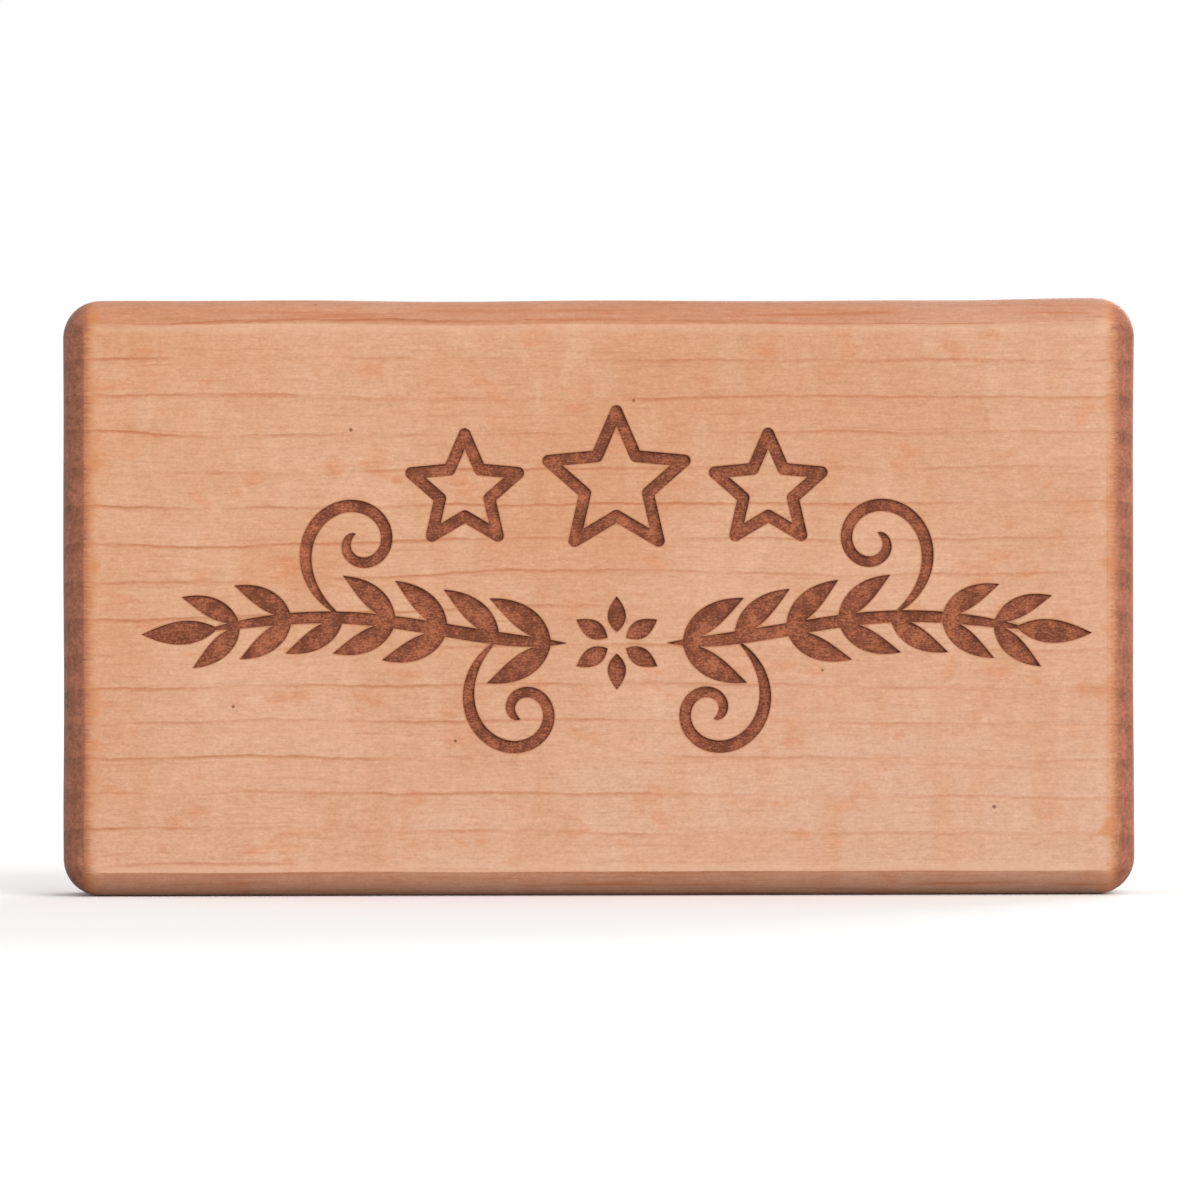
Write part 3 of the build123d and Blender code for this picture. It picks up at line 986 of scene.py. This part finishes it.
# %% Punch the plate
KEYHOLE_ENTRY_RADIUS = 4.25 * MM
KEYHOLE_SLOT_RADIUS = 2.25 * MM
KEYHOLE_RISE = 6.0 * MM
SCREW_GAP = 0.05 * MM
SCREW_HEAD_RADIUS = 2.75 * MM
SCREW_HEAD_DEPTH = 1.25 * MM
SCREW_SHANK_RADIUS = 1.5 * MM
PUNCHED_ROUNDING = 0.16 * MM
ENTRY_Z = plate_middle.z - (KEYHOLE_RISE + KEYHOLE_SLOT_RADIUS - KEYHOLE_ENTRY_RADIUS) / 2


def rod(x, z, low_y, high_y, low_radius, high_radius, sides=96):
    """A round bar along Y, or a cone where its two radii differ."""
    bpy.ops.object.select_all(action="DESELECT")
    bpy.ops.mesh.primitive_cone_add(
        vertices=sides, radius1=low_radius, radius2=high_radius, depth=high_y - low_y,
        location=(x, (low_y + high_y) / 2, z), rotation=(radians(-90), 0, 0))
    piece = bpy.context.object
    settle(piece)
    return piece


def soften_edges(piece, radius, steps=3, sharper_than=30):
    """Rounds every edge that turns by more than an angle in degrees."""
    modifier = piece.modifiers.new("soften", "BEVEL")
    modifier.width = radius
    modifier.segments = steps
    modifier.limit_method = "ANGLE"
    modifier.angle_limit = radians(sharper_than)
    only(piece)
    bpy.ops.object.modifier_apply(modifier=modifier.name)


plate = box_piece("hanger_plate", plate_low, plate_high)
round_upright_corners(plate, PLATE_CORNER)
before_y, behind_y = plate_low.y - PAST, plate_high.y + PAST
keyhole = rod(plate_middle.x, ENTRY_Z, before_y, behind_y, KEYHOLE_ENTRY_RADIUS, KEYHOLE_ENTRY_RADIUS)
slot_low = Vector((plate_middle.x - KEYHOLE_SLOT_RADIUS, before_y, ENTRY_Z))
slot_high = Vector((plate_middle.x + KEYHOLE_SLOT_RADIUS, behind_y, ENTRY_Z + KEYHOLE_RISE))
combine(keyhole, box_piece("slot_cutter", slot_low, slot_high), "UNION")
combine(keyhole, rod(plate_middle.x, ENTRY_Z + KEYHOLE_RISE, before_y, behind_y,
                     KEYHOLE_SLOT_RADIUS, KEYHOLE_SLOT_RADIUS), "UNION")
combine(plate, keyhole, "DIFFERENCE")

SCREW_PLACES = []
for name in ("hanger_screw_left", "hanger_screw_right"):
    screw_low, screw_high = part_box(name)
    SCREW_PLACES.append(((screw_low.x + screw_high.x) / 2, (screw_low.z + screw_high.z) / 2))
for screw_x, screw_z in SCREW_PLACES:
    hole_radius = SCREW_SHANK_RADIUS + SCREW_GAP
    combine(plate, rod(screw_x, screw_z, before_y, behind_y, hole_radius, hole_radius), "DIFFERENCE")
    cone_y = plate_high.y - SCREW_HEAD_DEPTH - SCREW_GAP
    flare = (SCREW_HEAD_RADIUS - SCREW_SHANK_RADIUS) / (plate_high.y - cone_y)
    combine(plate, rod(screw_x, screw_z, cone_y, behind_y, hole_radius,
                       hole_radius + flare * (behind_y - cone_y)), "DIFFERENCE")
soften_edges(plate, PUNCHED_ROUNDING)
print("hanger plate:", triangle_count(plate), "triangles")

# %% [markdown]
# Zinc plating is bright but never a mirror.  It keeps the long fine lines of the rolled strip under
# it, is mottled where the bath left it thicker, and has a few stray scratches.  Noise stretched along
# the strip gives the lines, and the same finish with round lumps serves the headed screws.

# %% Zinc plating
def zinc_plating(name, line_lumps, mottle_lump, light_tone, dark_tone):
    """Bright zinc whose lines have lumps of so many millimetres along x, y and z."""
    zinc = Finish(name)
    lines = zinc.grain(line_lumps, detail=4, roughness=0.65)
    mottle = zinc.grain([mottle_lump] * 3, detail=3, roughness=0.55, shift=3)
    scratches = zinc.span(zinc.grain((3.2, 3, 0.06), detail=1, shift=15), 0.72, 0.75)
    tone = zinc.total((lines, 0.6), (mottle, 0.4))
    colour = zinc.tint(zinc.span(tone, 0.35, 0.65), dark_tone, light_tone)
    zinc.feed(zinc.shader.inputs["Base Color"], colour)
    rough = zinc.total(zinc.span(tone, 0.3, 0.7, 0.40, 0.26, smooth=False), (scratches, 0.1))
    zinc.feed(zinc.shader.inputs["Roughness"], rough)
    zinc.shader.inputs["Metallic"].default_value = 1.0
    zinc.bump(zinc.total(lines, (scratches, -0.4)), 0.003 * MM)
    return zinc.material


def finish_piece(piece, material, node, smooth_below=30):
    """Smooths, paints and attaches a piece, and hides the CAD node that it stands for."""
    drop_slivers(piece)
    bpy.ops.object.shade_smooth_by_angle(angle=radians(smooth_below))
    # A big flat face keeps its own direction, so the small round edge beside it doesn't shade it.
    modifier = piece.modifiers.new("flat_faces", "WEIGHTED_NORMAL")
    modifier.keep_sharp = True
    bpy.ops.object.modifier_apply(modifier=modifier.name)
    piece.data.materials.clear()
    piece.data.materials.append(material)
    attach(piece, "root")
    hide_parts(node)
    print(piece.name, "stands for", node)


plate_zinc = zinc_plating("plated_strip_steel", (6.0, 0.4, 0.09), 2.6,
                          screen_colour(218, 220, 219), screen_colour(180, 183, 184))
finish_piece(plate, plate_zinc, "keyhole_hanger")

# %% [markdown]
# ## The two hanger screws
# A wood screw is headed and pointed, its cross is pressed in, and its thread is rolled.  Spinning a
# half outline about the screw's axis gives the head, core and point in one step.  The Screw modifier
# winds a small triangle up the core as the thread, and two tapered bars cut the cross.

# %% Turn a screw
SCREW_LENGTH = 10.0 * MM
SCREW_POINT_LENGTH = 2.0 * MM
SCREW_CORE_RADIUS = 1.05 * MM
SCREW_TIP_RADIUS = 0.12 * MM
SHANK_LENGTH = 0.7 * MM     # the plain shank under the head
SHANK_TAPER = 0.5 * MM      # the length over which it narrows to the core
HEAD_EDGE = 0.12 * MM       # the thin straight rim round the head


def turned(name, outline, steps=72):
    """Spins an outline of (radius, y) corners, which starts and ends on the axis, about Y."""
    bpy.ops.object.select_all(action="DESELECT")
    bpy.ops.mesh.primitive_circle_add(vertices=len(outline), radius=MM, fill_type="NOTHING")
    piece = bpy.context.object
    piece.name = name
    set_vertex_places(piece.data, np.array([(radius, y, 0.0) for radius, y in outline]))
    bpy.ops.object.mode_set(mode="EDIT")
    bpy.ops.mesh.select_all(action="SELECT")
    bpy.ops.mesh.spin(steps=steps, angle=2 * pi, center=(0, 0, 0), axis=(0, 1, 0))
    bpy.ops.mesh.select_all(action="SELECT")
    bpy.ops.mesh.remove_doubles(threshold=0.001 * MM)
    bpy.ops.mesh.delete_loose()
    bpy.ops.mesh.select_all(action="SELECT")
    bpy.ops.mesh.normals_make_consistent(inside=False)
    bpy.ops.object.mode_set(mode="OBJECT")
    return piece


head_y = plate_high.y
tip_y = head_y - SCREW_LENGTH
neck_y = head_y - SCREW_HEAD_DEPTH
screw = turned("screw_left", [
    (0, tip_y), (SCREW_TIP_RADIUS, tip_y + 0.05 * MM), (SCREW_CORE_RADIUS, tip_y + SCREW_POINT_LENGTH),
    (SCREW_CORE_RADIUS, neck_y - SHANK_LENGTH - SHANK_TAPER),
    (SCREW_SHANK_RADIUS - 0.05 * MM, neck_y - SHANK_LENGTH),
    (SCREW_SHANK_RADIUS, neck_y), (SCREW_HEAD_RADIUS, head_y - HEAD_EDGE), (SCREW_HEAD_RADIUS, head_y),
    (0, head_y)])
print("turned screw:", triangle_count(screw), "triangles")

# %% Press in the cross
CROSS_LENGTH, CROSS_WIDTH, CROSS_DEPTH = 3.0 * MM, 0.7 * MM, 1.0 * MM


def cross_bar(length_x, length_z):
    """One bar of the driver's cross, narrower at its bottom."""
    low = Vector((-length_x / 2, head_y - CROSS_DEPTH, -length_z / 2))
    high = Vector((length_x / 2, head_y + PAST, length_z / 2))
    bar = box_piece("cross_bar", low, high)
    bpy.ops.object.mode_set(mode="EDIT")
    pick(bar, "FACE", lambda face: face.normal.y < -0.9)
    bpy.ops.transform.resize(value=(0.5, 1, 0.5), center_override=(0, low.y, 0))
    bpy.ops.object.mode_set(mode="OBJECT")
    return bar


widening = 1 + PAST / CROSS_DEPTH / 2    # a bar starts above the head, so it starts wider
cross = cross_bar(CROSS_LENGTH * widening, CROSS_WIDTH * widening)
combine(cross, cross_bar(CROSS_WIDTH * widening, CROSS_LENGTH * widening), "UNION")
combine(screw, cross, "DIFFERENCE")
soften_edges(screw, 0.05 * MM, steps=2, sharper_than=38)
print("screw with its cross:", triangle_count(screw), "triangles")

# %% Roll the thread
THREAD_PITCH = 1.1 * MM
THREAD_TURNS = 5
THREAD_FOOT = 0.24 * MM
bpy.ops.object.select_all(action="DESELECT")
bpy.ops.mesh.primitive_circle_add(vertices=3, radius=MM, fill_type="NOTHING")
thread = bpy.context.object
thread.name = "thread"
thread_y = tip_y + SCREW_POINT_LENGTH + THREAD_FOOT
inner_radius = SCREW_CORE_RADIUS - 0.1 * MM
set_vertex_places(thread.data, np.array([
    (inner_radius, thread_y - THREAD_FOOT, 0), (SCREW_SHANK_RADIUS, thread_y, 0),
    (inner_radius, thread_y + THREAD_FOOT, 0)]))
winding = thread.modifiers.new("winding", "SCREW")
winding.axis = "Y"
winding.screw_offset = THREAD_PITCH
winding.iterations = THREAD_TURNS
winding.steps = winding.render_steps = 40
only(thread)
bpy.ops.object.modifier_apply(modifier=winding.name)
bpy.ops.object.mode_set(mode="EDIT")
bpy.ops.mesh.select_all(action="SELECT")
bpy.ops.mesh.fill_holes(sides=4)
bpy.ops.mesh.select_all(action="SELECT")
bpy.ops.mesh.normals_make_consistent(inside=False)
bpy.ops.object.mode_set(mode="OBJECT")
combine(screw, thread, "UNION")
print("finished screw:", triangle_count(screw), "triangles, box in mm",
      [round(v / MM, 2) for v in screw.dimensions])

# %% Drive both screws in
SCREW_TURNS = (radians(14), radians(-37))    # no two screws stop at the same angle
second_screw = screw.copy()
second_screw.data = screw.data.copy()
second_screw.name = "screw_right"
bpy.context.collection.objects.link(second_screw)
screw_zinc = zinc_plating("plated_screw_steel", (0.16, 0.16, 0.16), 0.9,
                          screen_colour(214, 211, 200), screen_colour(182, 178, 166))
for piece, (screw_x, screw_z), turn, node in zip(
        (screw, second_screw), SCREW_PLACES, SCREW_TURNS, ("hanger_screw_left", "hanger_screw_right")):
    piece.rotation_euler = (0, turn, 0)
    piece.location = (screw_x, 0, screw_z)
    settle(piece)
    finish_piece(piece, screw_zinc, node)

# %% [markdown]
# ## The four bumpers
# A bumper is a moulded pad of soft rubber on a film of adhesive.  The mould leaves a low dome with a
# small dimple where the rubber was let in, a rounded shoulder and a straight rim.  A squashed sphere
# has no such rim, so the pad is spun from its outline as the screws are.

# %% Mould a bumper
bumper_low, bumper_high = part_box("bumper_top_left")
BUMPER_RADIUS = (bumper_high.x - bumper_low.x) / 2
BUMPER_RIM = 0.6 * MM
FILM_THICKNESS = 0.12 * MM
FILM_INSET = 0.12 * MM
DIMPLE_RADIUS = 0.45 * MM
DIMPLE_DEPTH = 0.10 * MM
dome_height = bumper_high.y - bumper_low.y - BUMPER_RIM
DOME_RADIUS = (BUMPER_RADIUS ** 2 + dome_height ** 2) / (2 * dome_height)
DOME_STEPS = 24


def dome_y(radius):
    """How high the dome stands at a distance from its middle."""
    return bumper_high.y - DOME_RADIUS + (DOME_RADIUS ** 2 - radius ** 2) ** 0.5


outline = [(0, bumper_low.y), (BUMPER_RADIUS - FILM_INSET, bumper_low.y),
           (BUMPER_RADIUS - FILM_INSET, bumper_low.y + FILM_THICKNESS),
           (BUMPER_RADIUS, bumper_low.y + FILM_THICKNESS + 0.06 * MM)]
for step in range(DOME_STEPS + 1):
    radius = BUMPER_RADIUS + (DIMPLE_RADIUS - BUMPER_RADIUS) * step / DOME_STEPS
    outline.append((radius, dome_y(radius)))
outline += [(DIMPLE_RADIUS * 0.75, dome_y(0) - DIMPLE_DEPTH * 0.9), (0, dome_y(0) - DIMPLE_DEPTH)]
bumper = turned("bumper_pad", outline, steps=80)
soften_edges(bumper, 0.22 * MM, steps=4, sharper_than=45)
print("bumper:", triangle_count(bumper), "triangles")

# %% [markdown]
# The rubber is black with a satin skin.  The mould was blasted, which leaves a fine even roughness,
# and dust and handling pale the dome a little.  The film at the foot is a clear, shinier yellow-white.
# Both show on one piece, so the material tells them apart by their height off the wood.

# %% Rubber
RUBBER = screen_colour(38, 38, 39)
RUBBER_DUSTY = screen_colour(68, 67, 65)
ADHESIVE = screen_colour(196, 190, 172)
rubber = Finish("satin_black_rubber")
height = rubber.math("SUBTRACT", rubber.axes()[1], BACK_Y)
blasted = rubber.grain((0.11, 0.11, 0.11), detail=2, roughness=0.6)
dust = rubber.grain((1.1, 1.1, 1.1), detail=4, roughness=0.65, shift=4)
on_dome = rubber.span(height, 0.9 * MM, 2.0 * MM)
dusting = rubber.times(rubber.span(dust, 0.42, 0.72), rubber.span(on_dome, 0, 1, 0.2, 0.7))
is_film = rubber.span(height, FILM_THICKNESS, FILM_THICKNESS + 0.03 * MM, 1.0, 0.0)
rubber_colour = rubber.tint(dusting, RUBBER, RUBBER_DUSTY)
rubber.feed(rubber.shader.inputs["Base Color"], rubber.tint(is_film, rubber_colour, ADHESIVE))
rubber_roughness = rubber.total(rubber.swing(blasted, 0.06, around=0.56), (dusting, 0.2))
rubber.feed(rubber.shader.inputs["Roughness"], rubber_roughness)
rubber.bump(blasted, 0.010 * MM)
print("the rubber has", len(rubber.nodes), "nodes")

# %% Stick the bumpers on
BUMPER_NODES = ("bumper_top_left", "bumper_top_right", "bumper_bottom_left", "bumper_bottom_right")
BUMPER_TURN = radians(23)    # each pad is stuck on at another angle
for count, node in enumerate(BUMPER_NODES):
    low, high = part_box(node)
    pad = bumper.copy()
    pad.data = bumper.data.copy()
    pad.name = f"{node}_pad"
    bpy.context.collection.objects.link(pad)
    pad.rotation_euler = (0, BUMPER_TURN * count, 0)
    pad.location = ((low.x + high.x) / 2, 0, (low.z + high.z) / 2)
    settle(pad)
    finish_piece(pad, rubber.material, node, smooth_below=35)
bpy.data.objects.remove(bumper)
print("bumpers are stuck on")
